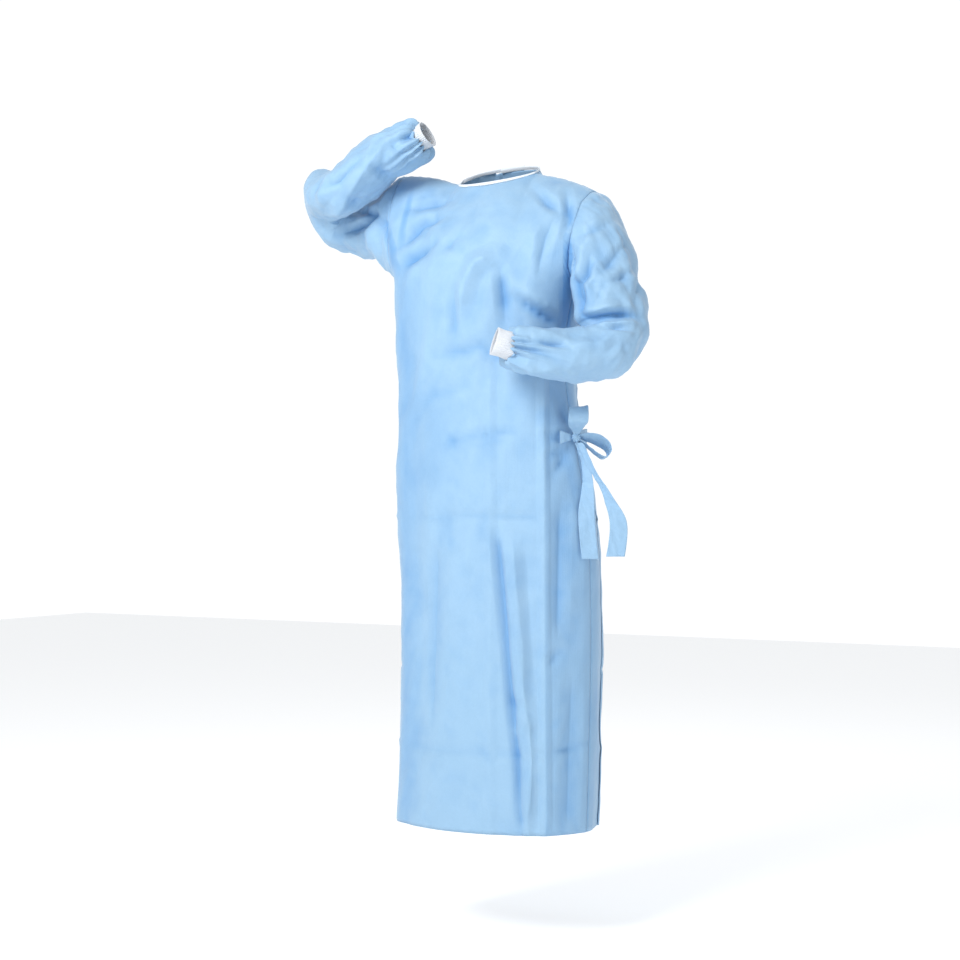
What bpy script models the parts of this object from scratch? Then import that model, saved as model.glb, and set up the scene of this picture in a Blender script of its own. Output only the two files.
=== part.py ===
"""A wrap-around disposable surgical gown, hollow, in the pose in which it is worn: the right sleeve is
raised with its forearm folded back over the upper arm, the left forearm lies across the waist, and the
outer back flap is tied in a bow at the left side. Metres. +X is the wearer's left, -Y the front, +Z up.
The origin is where the wearer's shoulders hold it: the middle of the neck opening."""

import math

import bmesh
import bpy
import numpy as np
from mathutils.kdtree import KDTree

# Cloth and seams.
CLOTH = 0.0016
KNIT = 0.0020
TIE_CLOTH = 0.0012
SEAM_GAP = 0.0004
LAYER_GAP = 0.0058

# Counts of the panels' mesh.
YOKE_ROWS = 8
SKIRT_ROWS = 14
SHOULDER_COLUMNS = 8
FRONT_NECK_COLUMNS = 12
LEFT_NECK_COLUMNS = 6
RIGHT_NECK_COLUMNS = 8
AROUND = 2 * YOKE_ROWS

# Neck opening, an ellipse that dips at the front and rises at the back of the neck.
NECK_HALF_WIDTH = 0.083
NECK_HALF_DEPTH = 0.057
NECK_MIDDLE_Y = -0.004
NECK_MEAN_HEIGHT = -0.001
NECK_DIP = 0.020
NECK_LEFT_LIFT = 0.005
NECK_POINT_ANGLE = 95.0
NECK_OVERLAP_ANGLE = 17.0

# Shoulder points, where the shoulder seam meets the sleeve, and how far the armhole reaches.
LEFT_SHOULDER = (0.200, 0.005, -0.035)
RIGHT_SHOULDER = (-0.205, 0.000, 0.020)
SHOULDER_CROWN = 0.005
UNDERARM_HEIGHT = -0.200
UNDERARM_DROP_LEFT = 0.010
ARMHOLE_FORWARD = 0.060
ARMHOLE_BACKWARD = 0.056

# Level sections of the body, from the underarm to the hem. Angles run from the front centre to the left.
SECTION_COLUMNS = ("height", "half_width", "half_depth", "centre_x", "centre_y")
SECTIONS = (
    (-0.180, 0.190, 0.125, -0.002, -0.035),
    (-0.300, 0.183, 0.120, -0.006, -0.037),
    (-0.400, 0.178, 0.117, -0.010, -0.038),
    (-0.500, 0.187, 0.122, -0.004, -0.032),
    (-0.610, 0.199, 0.130, 0.003, -0.023),
    (-0.720, 0.200, 0.130, 0.006, -0.016),
    (-0.850, 0.199, 0.130, 0.008, -0.013),
    (-1.000, 0.199, 0.130, 0.006, -0.014),
    (-1.100, 0.200, 0.131, 0.004, -0.018),
    (-1.215, 0.200, 0.131, 0.003, -0.022),
)
HEM = SECTIONS[-1][0]
SEAM_ANGLE = 85.0
NECK_COLUMN_ANGLE = 35.0

# Where the back panels' free edges run, in degrees round from the front centre. The right panel lies outside.
FREE_EDGE_COLUMNS = ("height", "left_panel", "right_panel")
FREE_EDGES = (
    (-0.180, 197.0, 196.0),
    (-0.320, 212.0, 222.0),
    (-0.480, 226.0, 246.0),
    (-0.800, 232.0, 246.0),
    (-1.215, 235.0, 243.0),
)

# Pressed creases and hanging folds of the body: two ends, each an angle and a height, then half width and rise.
FOLD_COLUMNS = ("from_angle", "from_height", "to_angle", "to_height", "half_width", "rise", "sharpness")
FOLDS = (
    ("left_pressed_edge", 47.5, -0.06, 47.5, -1.40, 0.055, 0.0085, 1.0),
    ("right_pressed_edge", -53.75, -0.10, -53.75, -1.40, 0.060, 0.0060, 1.0),
    ("long_front_fold", 24.0, -0.64, 38.0, -1.26, 0.026, 0.0080, 1.3),
    ("fold_hollow", 33.0, -0.72, 43.0, -1.30, 0.020, -0.0060, 1.6),
    ("right_side_hollow", -38.0, -0.30, -34.0, -1.10, 0.050, -0.0060, 2.0),
    ("chest_hollow_left", 42.0, -0.10, 30.0, -0.33, 0.035, -0.0060, 2.0),
    ("chest_hollow_right", -40.0, -0.05, -24.0, -0.20, 0.035, -0.0050, 2.0),
    ("left_underarm_hollow", 82.0, -0.200, 82.0, -0.42, 0.085, -0.0120, 1.2),
    ("belly_fold", 12.0, -0.17, 20.0, -0.31, 0.022, 0.0060, 1.4),
    ("back_fold_left", 128.0, -0.30, 122.0, -1.30, 0.045, 0.0090, 1.6),
    ("back_fold_middle", 176.0, -0.42, 180.0, -1.30, 0.050, 0.0100, 1.6),
    ("back_fold_right", -128.0, -0.26, -122.0, -1.30, 0.045, 0.0090, 1.6),
    ("back_shoulder_fold", -150.0, -0.04, -122.0, -0.30, 0.035, 0.0060, 1.6),
)
FOLD_FADE = 0.060
LEAN_ANGLE = 25.0
LEAN_AT_HEM = 13.0
LEAN_TOP = -0.66

# The outer flap's lower corner stands away from the side of the gown.
FLAP_FLARE = 0.004
FLAP_FLARE_ANGLE = 28.0
FLAP_FLARE_TOP = -0.85

# Sleeves: the arm's line from armhole to wrist, and the cloth's half sizes in the elbow's plane and across it.
SLEEVE_COLUMNS = ("x", "y", "z", "in_plane", "across")
LEFT_SLEEVE = (
    (0.188, -0.020, -0.122, 0.100, 0.060),
    (0.213, -0.024, -0.140, 0.074, 0.069),
    (0.235, -0.030, -0.177, 0.060, 0.071),
    (0.248, -0.042, -0.226, 0.059, 0.076),
    (0.264, -0.050, -0.268, 0.060, 0.074),
    (0.275, -0.058, -0.310, 0.056, 0.057),
    (0.259, -0.090, -0.342, 0.056, 0.052),
    (0.221, -0.126, -0.348, 0.056, 0.050),
    (0.184, -0.164, -0.349, 0.053, 0.048),
    (0.158, -0.190, -0.342, 0.048, 0.045),
    (0.140, -0.204, -0.335, 0.040, 0.038),
)
RIGHT_SLEEVE = (
    (-0.200, -0.016, -0.075, 0.098, 0.058),
    (-0.242, -0.002, -0.075, 0.070, 0.060),
    (-0.284, 0.014, -0.080, 0.057, 0.055),
    (-0.335, 0.018, -0.082, 0.046, 0.052),
    (-0.373, 0.010, -0.070, 0.038, 0.054),
    (-0.386, -0.012, -0.040, 0.036, 0.056),
    (-0.368, -0.044, -0.017, 0.041, 0.053),
    (-0.330, -0.077, -0.018, 0.057, 0.046),
    (-0.280, -0.097, -0.014, 0.070, 0.042),
    (-0.209, -0.093, 0.037, 0.069, 0.046),
    (-0.161, -0.083, 0.058, 0.055, 0.045),
    (-0.131, -0.079, 0.073, 0.040, 0.039),
)
LEFT_RINGS = 22
RIGHT_RINGS = 26
ARMHOLE_BLEND = 0.17
LEAST_ADVANCE = 0.0030

# The sleeve's gathered end turns in over the cuff and is sewn to it a little way back.
LIP_BACK = 0.012
LIP_OUT = 0.006
GATHERS = 7
GATHER_DEPTH = 0.07
GATHER_REACH = 0.16

# Cuffs, knitted tubes a little wider than they are deep.
CUFF_HALF_WIDTH = 0.0285
CUFF_HALF_DEPTH = 0.0255
CUFF_LENGTH = {"left": 0.046, "right": 0.032}
CUFF_RINGS = 4
CUFF_CLEARANCE = 0.016

# Sleeve folds: place along the sleeve and round it, their half lengths, and rise. Shares run 0 to 1.
SLEEVE_FOLD_COLUMNS = ("along", "around", "half_along", "half_around", "rise")
LEFT_SLEEVE_FOLDS = (
    (0.20, 0.10, 0.05, 0.22, -0.0050),
    (0.44, 0.50, 0.04, 0.24, -0.0080),
    (0.53, 0.46, 0.03, 0.20, -0.0070),
    (0.47, 0.30, 0.04, 0.10, 0.0050),
    (0.66, 0.30, 0.12, 0.07, -0.0040),
    (0.36, 0.92, 0.10, 0.09, 0.0040),
)
RIGHT_SLEEVE_FOLDS = (
    (0.13, 0.16, 0.10, 0.045, 0.0060),
    (0.13, 0.27, 0.10, 0.045, 0.0070),
    (0.14, 0.38, 0.10, 0.045, 0.0060),
    (0.33, 0.25, 0.08, 0.10, -0.0050),
    (0.44, 0.50, 0.09, 0.10, 0.0040),
    (0.70, 0.30, 0.14, 0.08, 0.0040),
    (0.83, 0.22, 0.09, 0.06, -0.0050),
)

# Neck binding, and the closure tab on the outer back panel.
BINDING_HEIGHT = 0.0070
BINDING_THICKNESS = 0.0026
BINDING_GAP = 0.0007
CLOSURE_ROWS = slice(1, 3)
CLOSURE_COLUMNS = 2
CLOSURE_THICKNESS = 0.0022

# Waist ties. Places are from the knot: right and forward are as seen from the gown's front left.
KNOT = (0.1915, -0.0560, -0.4930)
KNOT_SIZE = (0.0085, 0.0080, 0.0095)
SEEN_FROM = 30.0
RIBBON_COLUMNS = ("right", "forward", "up", "width", "lean_right", "lean_forward", "lean_up")
UPPER_LOOP = (
    (0, -4, 8.9, 14, 1, 0.0, 0.0),
    (0, -4, 24, 30, 1, 0.0, -0.1),
    (1, -2, 44, 38, 1, 0.0, 0.1),
    (2, 4, 56, 38, 1, 0.0, 0.2),
    (2, 12, 46, 38, 1, 0.0, 0.2),
    (0, 15, 28, 34, 1, 0.0, 0.1),
    (0, 9, 12, 14, 1, 0.0, 0.0),
)
REAR_LOOP = (
    (8.9, -2, 1, 14, 0, 0.2, 1),
    (24, 0, 2, 26, 0, 0.1, 1),
    (44, 2, -2, 33, 0.2, 0.0, 1),
    (60, 6, -12, 34, 0.5, 0.0, 1),
    (58, 13, -20, 34, 0.5, 0.0, 1),
    (42, 14, -12, 33, 0.2, 0.0, 1),
    (24, 12, -3, 26, 0, 0.0, 1),
    (10, 8, 0, 14, 0, 0.0, 1),
)
LEFT_TAIL = (
    (3, 2, -10.5, 12, 1, 0.4, 0),
    (11, 2, -34, 14, 1, 0.7, 0),
    (20, 3, -66, 18, 1, 0.6, 0),
    (20, 5, -100, 24, 1, 0.3, 0),
    (18, 7, -135, 30, 1, 0.1, 0),
    (20, 8, -176, 31, 1, 0.0, 0),
    (25, 8, -222, 31, 1, 0.0, 0),
)
RIGHT_TAIL = (
    (7, 7, -10.0, 12, 1, 0.4, 0),
    (18, 10, -38, 14, 1, 0.8, 0),
    (34, 14, -70, 14, 1, 1.0, 0),
    (52, 16, -98, 17, 1, 0.9, 0),
    (60, 18, -116, 22, 1, 0.5, 0),
    (75, 18, -150, 31, 1, 0.1, 0),
    (75, 18, -185, 33, 1, 0.0, 0),
    (70, 18, -217, 34, 1, 0.0, 0),
)
TIE_RIBBONS = (
    ("bow_upper_loop", UPPER_LOOP, 13),
    ("bow_rear_loop", REAR_LOOP, 14),
    ("left_tail", LEFT_TAIL, 14),
    ("right_tail", RIGHT_TAIL, 15),
)

# The bands that join the knot to the front panel and to the flap's free edge.
FRONT_ROOT_ANGLES = (67.5, 69.5, 71.5)
FRONT_ROOT_LIFTS = (0.0026, 0.0036, 0.0052)
FRONT_ROOT_WIDTHS = (0.026, 0.023, 0.018, 0.012)
FRONT_ROOT_END = (-0.0092, -0.001, 0.0)
FLAP_TIE_ANGLES = (118.0, 112.0, 104.0, 96.0, 88.0)
FLAP_TIE_LIFTS = (0.0117, 0.0112, 0.0085, 0.0060, 0.0055)
FLAP_TIE_WIDTHS = (0.036, 0.036, 0.034, 0.030, 0.022, 0.012)
FLAP_TIE_END = (0.0075, -0.0075, 0.0)

MATERIALS = {
    "cloth": ((0.42, 0.68, 0.90), 0.75),
    "knit": ((0.92, 0.93, 0.95), 0.90),
    "binding": ((0.86, 0.90, 0.95), 0.80),
}


def material(name):
    """The Principled material of one of the gown's three stuffs."""
    made = bpy.data.materials.get(name)
    if made is None:
        colour, roughness = MATERIALS[name]
        made = bpy.data.materials.new(name)
        made.use_nodes = True
        shader = made.node_tree.nodes["Principled BSDF"]
        shader.inputs["Base Color"].default_value = (*colour, 1.0)
        shader.inputs["Roughness"].default_value = roughness
        shader.inputs["Metallic"].default_value = 0.0
    return made


def ease(share):
    """0 to 1 with level ends."""
    share = np.clip(share, 0.0, 1.0)
    return share * share * (3.0 - 2.0 * share)


def through(keys, values, at):
    """A smooth curve through a table's values, read at the given keys."""
    keys = np.asarray(keys, float)
    values = np.asarray(values, float)
    at = np.clip(at, keys.min(), keys.max())
    if keys[0] > keys[-1]:
        keys, values = keys[::-1], values[::-1]
    slopes = np.gradient(values, keys, axis=0)
    below = np.clip(np.searchsorted(keys, at, side="right") - 1, 0, len(keys) - 2)
    span = keys[below + 1] - keys[below]
    share = (at - keys[below]) / span
    if values.ndim > 1:
        share, span = share[..., None], span[..., None]
    return (
        values[below] * (1 + 2 * share) * (1 - share) ** 2
        + values[below + 1] * share**2 * (3 - 2 * share)
        + slopes[below] * span * share * (1 - share) ** 2
        + slopes[below + 1] * span * share**2 * (share - 1)
    )


def unit(vectors):
    return vectors / np.linalg.norm(vectors, axis=-1, keepdims=True)


def section_point(angle, height):
    """A point of the body's plain outer surface below the underarm."""
    table = np.array(SECTIONS)
    half_width, half_depth, centre_x, centre_y = (
        through(table[:, 0], table[:, column], height) for column in range(1, 5)
    )
    turn = np.radians(angle)
    return np.stack(
        [centre_x + half_width * np.sin(turn), centre_y - half_depth * np.cos(turn), height], axis=-1
    )


def neck_point(angle):
    """A point of the neck opening's edge. The angle runs as the body's does."""
    turn = np.radians(angle)
    return np.stack(
        [
            NECK_HALF_WIDTH * np.sin(turn),
            NECK_MIDDLE_Y - NECK_HALF_DEPTH * np.cos(turn),
            NECK_MEAN_HEIGHT - NECK_DIP * np.cos(turn) + NECK_LEFT_LIFT * np.sin(turn),
        ],
        axis=-1,
    )


def shoulder_point(side, share):
    """A point of the shoulder seam, from the armhole at 0 to the neck at 1. side is 1 on the left, -1 on the right."""
    outer = np.array(LEFT_SHOULDER if side > 0 else RIGHT_SHOULDER)
    inner = neck_point(np.array(side * NECK_POINT_ANGLE))
    share = np.asarray(share, float)[..., None]
    return outer + (inner - outer) * share + np.array([0, 0, SHOULDER_CROWN]) * np.sin(math.pi * share)


def underarm_height(angle):
    return UNDERARM_HEIGHT - UNDERARM_DROP_LEFT * np.sin(np.radians(angle))


def armhole_point(side, share, reach):
    """The armhole's edge from the shoulder point at 0 to the underarm at 1, bowed by reach to the front or back."""
    top = shoulder_point(side, 0.0)
    seam = np.array(side * SEAM_ANGLE)
    bottom = section_point(seam, underarm_height(seam))
    share = np.asarray(share, float)[..., None]
    fall = (1.0 - np.cos(math.pi * share)) / 2.0
    return top + (bottom - top) * fall + np.array([0.0, reach, 0.0]) * np.sin(math.pi * share)


def leaned(angle, height):
    """Turns a column of the front panel so that one of them follows the long front fold."""
    lean = LEAN_AT_HEM * ease((LEAN_TOP - height) / (LEAN_TOP - HEM))
    hat = np.interp(angle, (0.0, LEAN_ANGLE, 50.0), (0.0, 1.0, 0.0))
    return angle + lean * hat


def fold_rise(angle, height):
    """How far the named folds raise the cloth at each angle and height."""
    rise = np.zeros(np.broadcast(angle, height).shape)
    table = np.array(SECTIONS)
    radius = through(table[:, 0], table[:, 1], height) * 0.82
    for _, from_angle, from_height, to_angle, to_height, half_width, top, sharpness in FOLDS:
        along = (height - from_height) / (to_height - from_height)
        line = from_angle + (to_angle - from_angle) * along
        apart = np.radians((angle - line + 180.0) % 360.0 - 180.0) * radius
        across = np.clip(1.0 - np.abs(apart) / half_width, 0.0, 1.0) ** sharpness
        length = abs(to_height - from_height)
        ends = ease(along * length / FOLD_FADE) * ease((1.0 - along) * length / FOLD_FADE)
        rise = rise + top * across * ends
    return rise


def yoke(tops, ring, top_tangents, edge_weights, edge_points):
    """The cloth from the shoulder seam and neckline down to the underarm ring, bent to the armhole at its edges."""
    share = np.linspace(0.0, 1.0, YOKE_ROWS + 1)[:, None, None]
    reach = np.linalg.norm(ring - tops, axis=-1, keepdims=True)
    hang = np.array([0.0, 0.0, -1.0]) * reach
    cloth = (
        tops * (1 + 2 * share) * (1 - share) ** 2
        + ring * share**2 * (3 - 2 * share)
        + top_tangents * reach * share * (1 - share) ** 2
        + hang * share**2 * (share - 1)
    )
    for column, weights in edge_weights:
        cloth = cloth + weights[None, :, None] * (edge_points[column] - cloth[:, column])[:, None, :]
    return cloth


def dipping(dip, forward):
    """A unit direction that leaves the neckline or shoulder seam forwards or backwards, dipping by degrees."""
    dip = np.radians(dip)
    return np.stack([np.zeros_like(dip), forward * np.cos(dip), -np.sin(dip)], axis=-1)


def skirt(angles_at, first_height):
    """Rows of the body below the underarm ring. angles_at gives the columns' angles at a row's heights."""
    rows = []
    for row in range(1, SKIRT_ROWS + 1):
        share = row / SKIRT_ROWS
        height = first_height + (HEM - first_height) * share
        angle = angles_at(height)
        rows.append((angle, height))
    return rows


def panel(tops, base_angles, angles_at, tangents, edges):
    """A body panel as a grid of outer points, with each point's angle and height for the folds."""
    ring_height = underarm_height(base_angles)
    ring_angle = angles_at(ring_height)
    ring = section_point(ring_angle, ring_height)
    upper = yoke(tops, ring, tangents, *edges)
    lower = skirt(angles_at, ring_height)
    points = np.concatenate([upper, np.stack([section_point(a, h) for a, h in lower])])
    angles = np.concatenate([np.repeat(ring_angle[None], YOKE_ROWS + 1, 0), np.stack([a for a, _ in lower])])
    return points, angles


def normals_of(points, wrapped=False):
    """Outward unit normals of a grid whose rows run down and whose columns run from the right to the left."""
    down = np.gradient(points, axis=0)
    if wrapped:
        across = np.roll(points, -1, axis=1) - np.roll(points, 1, axis=1)
    else:
        across = np.gradient(points, axis=1)
    return unit(np.cross(down, across))


def front_panel():
    width = SEAM_ANGLE - NECK_COLUMN_ANGLE
    base = np.concatenate(
        [
            np.linspace(-SEAM_ANGLE, -NECK_COLUMN_ANGLE, SHOULDER_COLUMNS + 1),
            np.linspace(-NECK_COLUMN_ANGLE, NECK_COLUMN_ANGLE, FRONT_NECK_COLUMNS + 1)[1:-1],
            np.linspace(NECK_COLUMN_ANGLE, SEAM_ANGLE, SHOULDER_COLUMNS + 1),
        ]
    )
    middle = np.abs(base) <= NECK_COLUMN_ANGLE
    right, left = base < -NECK_COLUMN_ANGLE, base > NECK_COLUMN_ANGLE
    tops = np.empty((len(base), 3))
    tops[middle] = neck_point(base[middle] / NECK_COLUMN_ANGLE * NECK_POINT_ANGLE)
    tops[right] = shoulder_point(-1, (base[right] + SEAM_ANGLE) / width)
    tops[left] = shoulder_point(1, (SEAM_ANGLE - base[left]) / width)
    dip = np.interp(np.abs(base), (0, NECK_COLUMN_ANGLE, 55, SEAM_ANGLE), (55.0, 32.0, 14.0, 10.0))
    share = np.linspace(0, 1, YOKE_ROWS + 1)
    edge_points = {
        0: armhole_point(-1, share, -ARMHOLE_FORWARD),
        len(base) - 1: armhole_point(1, share, -ARMHOLE_FORWARD),
    }
    weights = [
        (0, ease(1 - (base + SEAM_ANGLE) / 45.0)),
        (len(base) - 1, ease(1 - (SEAM_ANGLE - base) / 45.0)),
    ]
    return panel(tops, base, lambda h: leaned(base, h), dipping(dip, -1.0), (weights, edge_points))


def back_panel(side, neck_columns):
    """The left back panel for side 1, or the right one, which lies outside it, for side -1."""
    shoulder_share = np.linspace(0, 1, SHOULDER_COLUMNS + 1)
    neck_share = np.linspace(0, 1, neck_columns + 1)[1:]
    neck_start = 180.0 - NECK_COLUMN_ANGLE
    over_shoulder = SEAM_ANGLE + (neck_start - SEAM_ANGLE) * shoulder_share
    neck_angles = NECK_POINT_ANGLE + (180.0 + NECK_OVERLAP_ANGLE - NECK_POINT_ANGLE) * neck_share
    tops = np.concatenate([shoulder_point(side, shoulder_share), neck_point(side * neck_angles)])
    free = np.array(FREE_EDGES)
    column = 1 if side > 0 else 2

    def angles_at(height):
        edge = through(free[:, 0], free[:, column], np.asarray(height)[SHOULDER_COLUMNS + 1 :])
        return side * np.concatenate([over_shoulder, neck_start + (edge - neck_start) * neck_share])

    base = side * np.concatenate([over_shoulder, neck_start + (180.0 - neck_start) * neck_share])
    from_back = np.abs(180.0 - neck_angles) / (180.0 - NECK_POINT_ANGLE)
    dip = np.concatenate([10.0 + 16.0 * shoulder_share, 56.0 - 30.0 * from_back])
    share = np.linspace(0, 1, YOKE_ROWS + 1)
    weights = [(0, ease(1 - np.arange(len(base)) / 8.0))]
    edges = (weights, {0: armhole_point(side, share, ARMHOLE_BACKWARD)})
    points, angles = panel(tops, base, angles_at, dipping(dip, 1.0), edges)
    if side > 0:
        return points, angles
    return points[:, ::-1], angles[:, ::-1]


def flap_lift(points, angles):
    """How far the outer flap lies outside the inner panel, at each point of the right back panel."""
    low = ease((np.abs(angles) - 96.0) / 20.0)
    columns = angles.shape[1]
    share = (np.arange(columns)[::-1] - SHOULDER_COLUMNS) / (columns - 1 - SHOULDER_COLUMNS)
    top = ease((share - 0.10) / 0.30)
    down = ease(np.arange(len(points)) / (0.5 * YOKE_ROWS))[:, None]
    lift = LAYER_GAP * (top[None] * (1 - down) + low * down)
    from_edge = np.abs(angles[:, :1]) - np.abs(angles)
    flare = ease(1 - from_edge / FLAP_FLARE_ANGLE) * ease((FLAP_FLARE_TOP - points[..., 2]) / (FLAP_FLARE_TOP - HEM))
    return lift + FLAP_FLARE * flare


def frames_along(centres, first_up):
    """Tangents of a path, and an up direction carried along it without twist."""
    along = unit(np.gradient(centres, axis=0))
    ups = [unit(first_up - along[0] * (first_up @ along[0]))]
    for before, here in zip(along[:-1], along[1:]):
        axis = np.cross(before, here)
        turn = math.asin(min(1.0, float(np.linalg.norm(axis))))
        up = ups[-1]
        if turn > 1e-9:
            axis = unit(axis)
            up = up * math.cos(turn) + np.cross(axis, up) * math.sin(turn) + axis * (axis @ up) * (1 - math.cos(turn))
        ups.append(unit(up - here * (up @ here)))
    return along, np.array(ups)


def sleeve_folds(table, share, around):
    """The rise of the named folds at each place along and round a sleeve."""
    rise = np.zeros(np.broadcast(share, around).shape)
    for at_along, at_around, half_along, half_around, top in table:
        along = np.clip(1 - np.abs(share - at_along) / half_along, 0, 1)
        apart = np.abs((around - at_around + 0.5) % 1.0 - 0.5)
        rise = rise + top * ease(along) * ease(1 - apart / half_around)
    return rise


def sleeve(side, table, rings, folds):
    """A sleeve as closed rings from the armhole to the seam with the cuff, and the cuff's frame."""
    rows = np.array(table)
    chords = np.concatenate([[0], np.cumsum(np.linalg.norm(np.diff(rows[:, :3], axis=0), axis=1))])
    share = np.linspace(0, 1, rings)
    path = through(chords, rows, share * chords[-1])
    centres, in_plane, across = path[:, :3], path[:, 3], path[:, 4]
    along, ups = frames_along(centres, np.array([0.0, 0.0, 1.0]))
    sideways = np.cross(along, ups)
    forward = 1.0 if sideways[0] @ np.array([0.0, -1.0, 0.0]) > 0 else -1.0
    around = np.arange(AROUND) / AROUND
    turn = 2 * math.pi * around
    gathers = GATHER_DEPTH * np.cos(GATHERS * turn)[None, :] * ease((share[:, None] - 1 + GATHER_REACH) / GATHER_REACH)
    swell = 1 + gathers
    points = (
        centres[:, None]
        + (in_plane[:, None] * np.cos(turn) * swell)[..., None] * ups[:, None]
        + (across[:, None] * np.sin(turn) * forward * swell)[..., None] * sideways[:, None]
    )
    half = np.linspace(0, 1, YOKE_ROWS + 1)
    loop = np.concatenate(
        [
            armhole_point(side, half, -ARMHOLE_FORWARD),
            armhole_point(side, half[1:-1][::-1], ARMHOLE_BACKWARD),
        ]
    )
    outward = unit(points - centres[:, None])
    points = points + outward * sleeve_folds(folds, share[:, None], around[None])[..., None]
    weight = ease(share / ARMHOLE_BLEND)[:, None, None]
    points = points * weight + (loop + (centres - centres[0])[:, None]) * (1 - weight)
    # On the inside of a bend a ring never falls behind the one before it.
    for ring in range(1, rings):
        advance = (points[ring] - points[ring - 1]) @ along[ring]
        points[ring] += np.clip(LEAST_ADVANCE - advance, 0.0, None)[:, None] * along[ring]
    end, way, up, cross = centres[-1], along[-1], ups[-1], sideways[-1] * forward
    ellipse = np.cos(turn)[:, None] * up * CUFF_HALF_WIDTH + np.sin(turn)[:, None] * cross * CUFF_HALF_DEPTH
    lip = end + way * LIP_OUT + ellipse * 1.20
    seam = end + way * (LIP_OUT - 0.003) + ellipse * (1 + CUFF_CLEARANCE)
    points = np.concatenate([points, [lip, seam]])
    if side > 0:
        points = points[:, ::-1]
    return points, (end - way * LIP_BACK, way, up, cross)


def cuff(frame, length):
    """A cuff's outer points, from its hidden end inside the sleeve to its open end."""
    start, way, up, cross = frame
    turn = 2 * math.pi * np.arange(AROUND) / AROUND
    ellipse = np.cos(turn)[:, None] * up * CUFF_HALF_WIDTH + np.sin(turn)[:, None] * cross * CUFF_HALF_DEPTH
    return np.stack([start + way * length * share + ellipse for share in np.linspace(0, 1, CUFF_RINGS)])


def share_normals(grids):
    """Makes pieces that meet at a seam lean their walls the same way there."""
    places = np.concatenate([points.reshape(-1, 3) for points, _ in grids])
    normals = np.concatenate([normals.reshape(-1, 3) for _, normals in grids])
    tree = KDTree(len(places))
    for index, place in enumerate(places):
        tree.insert(place, index)
    tree.balance()
    joined = np.array([np.sum([normals[i] for _, i, _ in tree.find_range(place, 1e-5)], axis=0) for place in places])
    joined = unit(joined)
    start = 0
    shared = []
    for points, _ in grids:
        count = points.shape[0] * points.shape[1]
        shared.append(joined[start : start + count].reshape(points.shape))
        start += count
    return shared


def drawn_back(grid, wrapped):
    """Shortens a sheet at its edges, so that it ends half a seam gap from its neighbours."""
    drawn = grid.copy()
    for edge, inside in ((0, 1), (-1, -2)):
        drawn[edge] += unit(grid[inside] - grid[edge]) * SEAM_GAP / 2
        if not wrapped:
            drawn[:, edge] += unit(grid[:, inside] - grid[:, edge]) * SEAM_GAP / 2
    return drawn


def wall(name, outer, inner, stuff, wrapped=False):
    """One closed solid between a grid of outer points and one of inner points."""
    rows, columns = outer.shape[:2]
    vertices = np.concatenate([outer.reshape(-1, 3), inner.reshape(-1, 3)])
    offset = rows * columns

    def at(row, column, side):
        return side * offset + row * columns + column % columns

    faces = []
    last = columns if wrapped else columns - 1
    for row in range(rows - 1):
        for column in range(last):
            quad = [(row, column), (row, column + 1), (row + 1, column + 1), (row + 1, column)]
            faces.append([at(r, c, 0) for r, c in quad])
            faces.append([at(r, c, 1) for r, c in reversed(quad)])
    rim = [((0, c), (0, c + 1)) for c in range(last)]
    rim += [((rows - 1, c + 1), (rows - 1, c)) for c in range(last)]
    if not wrapped:
        rim += [((r + 1, 0), (r, 0)) for r in range(rows - 1)]
        rim += [((r, columns - 1), (r + 1, columns - 1)) for r in range(rows - 1)]
    for first, second in rim:
        faces.append([at(*second, 0), at(*first, 0), at(*first, 1), at(*second, 1)])
    return solid(name, vertices, faces, stuff)


def solid(name, vertices, faces, stuff):
    """An object of closed faces, turned so that they look outwards."""
    mesh = bpy.data.meshes.new(name)
    mesh.from_pydata([tuple(v) for v in vertices], [], faces)
    mesh.update()
    shape = bmesh.new()
    shape.from_mesh(mesh)
    bmesh.ops.triangulate(shape, faces=shape.faces)
    if shape.calc_volume(signed=True) < 0:
        bmesh.ops.reverse_faces(shape, faces=shape.faces)
    shape.to_mesh(mesh)
    shape.free()
    mesh.shade_smooth()
    mesh.set_sharp_from_angle(angle=math.radians(50))
    mesh.materials.append(material(stuff))
    made = bpy.data.objects.new(name, mesh)
    bpy.context.scene.collection.objects.link(made)
    return made


def cloth_wall(name, points, normals, wrapped=False):
    drawn = drawn_back(points, wrapped)
    return wall(name, drawn, drawn - normals * CLOTH, "cloth", wrapped)


def binding(panels, normals):
    """The neck binding, along the panels' neck edges from one free end to the other."""
    front, left, right = panels
    rises = [grid[0] - grid[1] for grid in panels]
    neck = slice(SHOULDER_COLUMNS, SHOULDER_COLUMNS + FRONT_NECK_COLUMNS + 1)
    right_count = right.shape[1] - SHOULDER_COLUMNS - 1
    places = np.concatenate([right[0, :right_count], front[0, neck], left[0, SHOULDER_COLUMNS + 1 :]])
    up = np.concatenate([rises[2][:right_count], rises[0][neck], rises[1][SHOULDER_COLUMNS + 1 :]])
    out = np.concatenate([normals[2][0, :right_count], normals[0][0, neck], normals[1][0, SHOULDER_COLUMNS + 1 :]])
    up = unit(up)
    for _ in range(2):
        up[1:-1] = unit(up[:-2] + up[1:-1] * 2 + up[2:])
    face = places + out * (BINDING_THICKNESS - CLOTH) / 2
    rows = [face + up * BINDING_GAP, face + up * (BINDING_GAP + BINDING_HEIGHT)]
    outer = np.stack(rows)
    return wall("neck_binding", outer, outer - out * BINDING_THICKNESS, "binding")


def on_body(angle, height, lift):
    """A point outside the body's folded cloth by the given distance."""
    angle, height = np.asarray(angle, float), np.asarray(height, float)
    here = section_point(angle, height)
    outward = unit(np.cross(section_point(angle + 1.0, height) - here, [0.0, 0.0, 1.0]))
    return here + outward * (fold_rise(angle, height) + lift)[..., None]


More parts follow.
